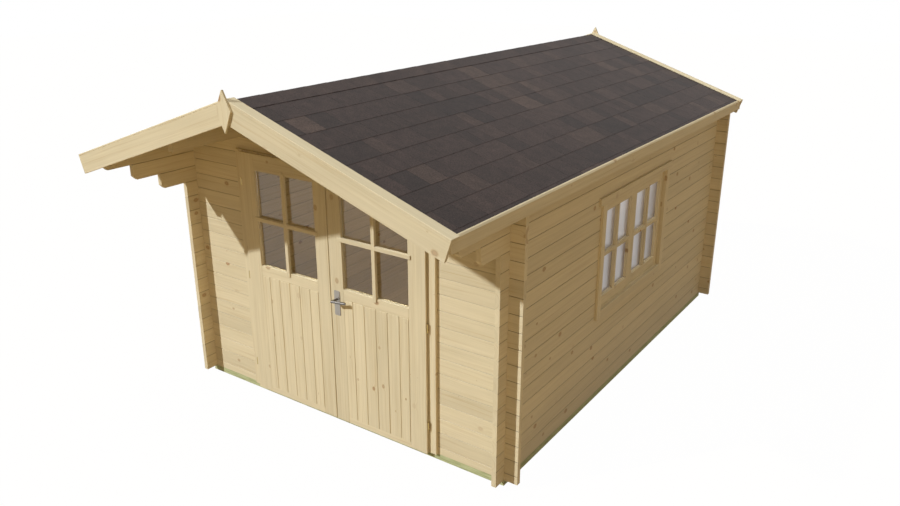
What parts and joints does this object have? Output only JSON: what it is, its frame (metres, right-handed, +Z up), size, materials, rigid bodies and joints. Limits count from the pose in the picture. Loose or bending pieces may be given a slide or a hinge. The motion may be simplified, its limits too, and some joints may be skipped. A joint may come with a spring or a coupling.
{
  "type": "garden house",
  "caption": "Log-built garden house with a gabled shingle roof, a deep front overhang on stepped eave logs, a glazed double door and a side window.",
  "frame": {"origin": "on the ground, in the middle of the whole house's bounding box", "axes": "+X to the right seen from the door side, +Y from the door side to the back along the ridge, +Z up"},
  "size_m": [3.0938, 4.835, 2.5368],
  "materials": {
    "spruce": "untreated spruce log",
    "planed_spruce": "untreated planed spruce",
    "treated_timber": "green pressure-treated timber",
    "bitumen_shingle": "brown mineral-surfaced bitumen shingle",
    "steel": "zinc-plated and brushed steel",
    "window_glass": "clear float glass"
  },
  "bodies": {
    "house": {"side_beams": "treated_timber", "end_beams": "treated_timber", "floor_joists": "treated_timber", "floor_boards": "spruce", "front_wall_left": "spruce", "front_wall_right": "spruce", "front_wall_top": "spruce", "front_gable": "spruce", "back_wall": "spruce", "back_gable": "spruce", "left_wall": "spruce", "left_eave_logs": "spruce", "right_wall_lower": "spruce", "right_wall_front": "spruce", "right_wall_rear": "spruce", "right_eave_logs": "spruce", "ridge_purlin": "spruce", "side_purlins": "spruce", "roof_boards_left": "spruce", "roof_boards_right": "spruce", "shingles_left": "bitumen_shingle", "shingles_right": "bitumen_shingle", "ridge_cap": "bitumen_shingle", "front_barge_boards": "planed_spruce", "rear_barge_boards": "planed_spruce", "front_cover_strips": "planed_spruce", "rear_cover_strips": "planed_spruce", "finials": "planed_spruce", "fascias": "planed_spruce", "door_frame": "planed_spruce", "hinge_pins": "steel", "window_frame": "planed_spruce", "window_trims": "planed_spruce", "window_sashes": "planed_spruce", "window_glass": "window_glass"},
    "left_leaf": {"door_leaf_left": "planed_spruce", "door_panel_left": "planed_spruce", "door_glass_left": "window_glass", "hinge_barrels_left": "steel"},
    "right_leaf": {"door_leaf_right": "planed_spruce", "door_panel_right": "planed_spruce", "door_glass_right": "window_glass", "hinge_barrels_right": "steel", "handle_plates": "steel"},
    "lever": {"handle_levers": "steel"}
  },
  "joints": [
    {"name": "left_door", "type": "hinge", "parent": "house", "child": "left_leaf", "pos_m": [-0.824, -1.626, 0.9855], "axis": [0, 0, -1], "range_deg": [0, 100]},
    {"name": "right_door", "type": "hinge", "parent": "house", "child": "right_leaf", "pos_m": [0.824, -1.626, 0.9855], "axis": [0, 0, 1], "range_deg": [0, 100]},
    {"name": "lever_turn", "type": "hinge", "parent": "right_leaf", "child": "lever", "pos_m": [0.06, -1.6145, 1.006], "axis": [0, 1, 0], "range_deg": [0, 40], "stiffness_Nm_per_rad": 1, "springref_deg": -34.38}
  ]
}
